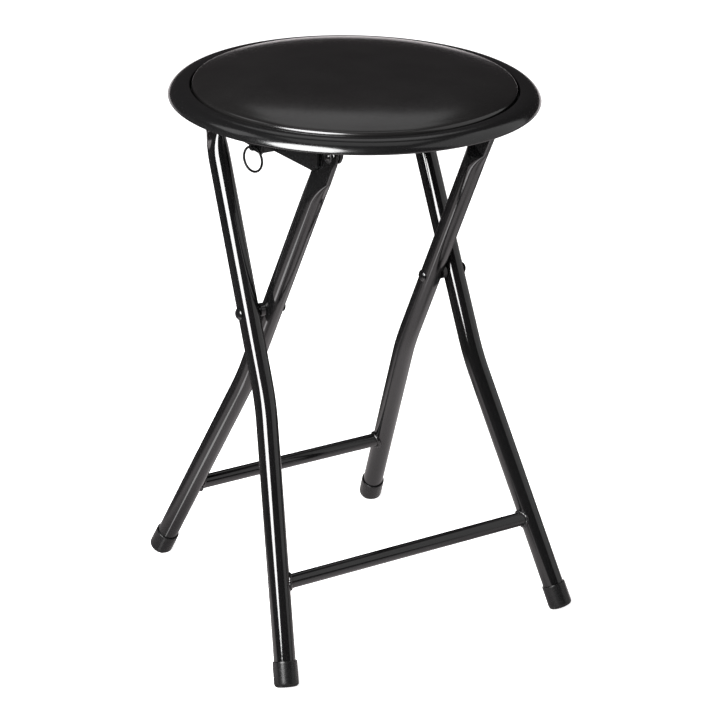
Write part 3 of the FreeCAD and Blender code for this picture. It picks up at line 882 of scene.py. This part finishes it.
def sim_pad():
    """Swell a slightly smaller closed pad and return how far its top rose, as a smooth function of x, y (mm)."""
    small = [(0.0, 449.4)] + [(r * 0.5, 449.4) for r in (60.0, 120.0, 180.0, 240.0)] + [(128.4, 449.6)]
    small += [(129.0, 450.6), (127.0, 452.4)] + [(r, dome_z(r) - 1.9) for r in (122.0, 112.0, 96.0, 76.0, 50.0, 25.0, 0.0)]
    bm = revolve_bm(small, 96)
    bmesh.ops.recalc_face_normals(bm, faces=bm.faces[:])
    for v in bm.verts:
        v.co = v.co * MM
    me = bpy.data.meshes.new("pad_sim")
    bm.to_mesh(me)
    bm.free()
    ob = bpy.data.objects.new("pad_sim", me)
    scene.collection.objects.link(ob)
    bpy.context.view_layer.objects.active = ob
    for o in bpy.context.selected_objects:
        o.select_set(False)
    ob.select_set(True)
    rm = ob.modifiers.new("remesh", "REMESH")
    rm.mode = "VOXEL"
    rm.voxel_size = 0.0045
    bpy.ops.object.modifier_apply(modifier=rm.name)
    start = [v.co.copy() for v in ob.data.vertices]
    tree0 = BVHTree.FromPolygons(start, [tuple(p.vertices) for p in ob.data.polygons])
    pins = ob.vertex_groups.new(name="held")
    for v in ob.data.vertices:
        if v.co.z < 0.4515:
            pins.add([v.index], 1.0, "REPLACE")
    cl = ob.modifiers.new("cloth", "CLOTH")
    st = cl.settings
    st.quality = 6
    st.mass = 0.25
    st.tension_stiffness = 18
    st.compression_stiffness = 18
    st.shear_stiffness = 8
    st.bending_stiffness = 2.0
    st.use_pressure = True
    st.uniform_pressure_force = 4.0
    st.vertex_group_mass = "held"
    st.pin_stiffness = 1.0
    st.effector_weights.gravity = 0.0
    cl.point_cache.frame_start = 1
    cl.point_cache.frame_end = 20
    for fr in range(1, 21):
        scene.frame_set(fr)
    dg = bpy.context.evaluated_depsgraph_get()
    ev = ob.evaluated_get(dg)
    done = [v.co.copy() for v in ev.data.vertices]
    cap = 0.005
    for i, p in enumerate(done):
        d = p - start[i]
        if d.length > cap:
            done[i] = start[i] + d.normalized() * cap
    tree1 = BVHTree.FromPolygons(done, [tuple(p.vertices) for p in ob.data.polygons])
    ob.modifiers.remove(cl)
    bpy.data.objects.remove(ob)
    scene.frame_set(1)
    # rise on a polar grid, then softened
    NR, NA = 20, 48
    grid = [[0.0] * NA for _ in range(NR)]
    for i in range(NR):
        r = (i + 0.5) / NR * 0.120
        for j in range(NA):
            a = 2 * math.pi * j / NA
            o = Vector((r * math.cos(a), r * math.sin(a), 0.6))
            h0 = tree0.ray_cast(o, Vector((0, 0, -1)))[0]
            h1 = tree1.ray_cast(o, Vector((0, 0, -1)))[0]
            if h0 and h1:
                grid[i][j] = (h1.z - h0.z) * 1000.0
    for _ in range(4):
        new = [row[:] for row in grid]
        for i in range(NR):
            for j in range(NA):
                acc = 2 * grid[i][j] + grid[i][(j + 1) % NA] + grid[i][j - 1]
                acc += grid[max(i - 1, 0)][j] + grid[min(i + 1, NR - 1)][j]
                new[i][j] = acc / 6.0
        grid = new
    mean = [sum(row) / NA for row in grid]

    def rise(x, y):
        r = math.hypot(x, y)
        a = math.atan2(y, x) % (2 * math.pi)
        u = min(NR - 1.001, max(0.0, r / 120.0 * NR - 0.5))
        w = a / (2 * math.pi) * NA
        i, j = int(u), int(w) % NA
        du, dw = u - int(u), w - int(w)

        def g(ii, jj):
            # only the uneven part; the mean swelling is in the dome already
            near = max(0.0, 1.0 - (ii + 0.5) / 3.0)
            return (grid[ii][jj % NA] - mean[ii]) * (1 - near)
        return ((g(i, j) * (1 - dw) + g(i, j + 1) * dw) * (1 - du)
                + (g(i + 1, j) * (1 - dw) + g(i + 1, j + 1) * dw) * du)
    return rise, max(mean)


def build_pad():
    rise, top = sim_pad()
    print("pad rise by rings up to %.2f mm" % top)

    prof = [(PAD_R - 0.5, 445.8), (PAD_R - 0.05, 446.3), (PAD_R, 448.0), (PAD_R, 449.8)]
    prof += spline(pad_roll + [(r, dome_z(r)) for r in (125.0, 121.0)], 6)[:-1]
    prof += [(r, dome_z(r)) for r in (121.0, 119.0, 117.0, 115.0, 112.5, 110.0, 107.5, 105.0, 102.0, 99.0, 96.0, 92.0, 88.0, 84.0,
                                      79.0, 74.0, 68.0, 62.0, 55.0, 48.0, 41.0, 34.0, 27.0, 20.0, 13.0, 6.0, 0.0)]
    prof += [(0.0, 451.4), (60.0, 451.4), (128.8, 451.4), (129.6, 450.6), (129.6, 446.4), (130.1, 445.8)]

    def warp(x, y, z):
        if z < 453.0:
            return 0.0
        r = math.hypot(x, y)
        fade = min(1.0, max(0.0, (129.0 - r) / 45.0))
        fade = fade * fade * (3 - 2 * fade)
        soft = 0.20 * noise.noise(Vector((x * 0.016, y * 0.016, 3.7))) + 0.05 * noise.noise(Vector((x * 0.05, y * 0.05, 9.1)))
        lift = max(-0.5, min(0.5, rise(x, y))) if rise else 0.0
        return fade * (soft + lift)

    bm = revolve_bm(prof, 288, warp)
    ob = piece("seat_pad", bm, "seat", vinyl, replaces=("seat_cover", "seat_foam"))
    return ob


build_pad()


# ------------------------------------------------------------------
# pull ring
# ------------------------------------------------------------------

bm = bmesh.new()
rc, rn = Vector((-95.0, -2.2, 403.9)), Vector((0.968, 0.25, 0.0)).normalized()
ru = Vector((0, 0, 1))
rv = rn.cross(ru)
tube_bm(bm, [rc + 10.2 * (math.cos(2 * math.pi * i / 120) * ru + math.sin(2 * math.pi * i / 120) * rv) for i in range(120)],
        1.0, 16, True)
piece("ring_wire", bm, "ring", ring_paint, replaces=("pull_ring",))


# ------------------------------------------------------------------
# pressed-steel nodes get softened edges
# ------------------------------------------------------------------

for name, width in (("bracket_left", 0.45), ("bracket_right", 0.45), ("catch_lever", 0.3), ("rod_end_caps", 0.25),
                    ("seat_pivot_washers", 0.2), ("bracket_screws", 0.15)):
    ob = nodes[name]
    wd = ob.modifiers.new("weld", "WELD")
    wd.merge_threshold = 0.00001
    bv = ob.modifiers.new("soft_edges", "BEVEL")
    bv.width = width * MM
    bv.segments = 2
    bv.limit_method = "ANGLE"
    bv.angle_limit = math.radians(40)
    bv.harden_normals = False
    wn = ob.modifiers.new("normals", "WEIGHTED_NORMAL")
    wn.keep_sharp = False
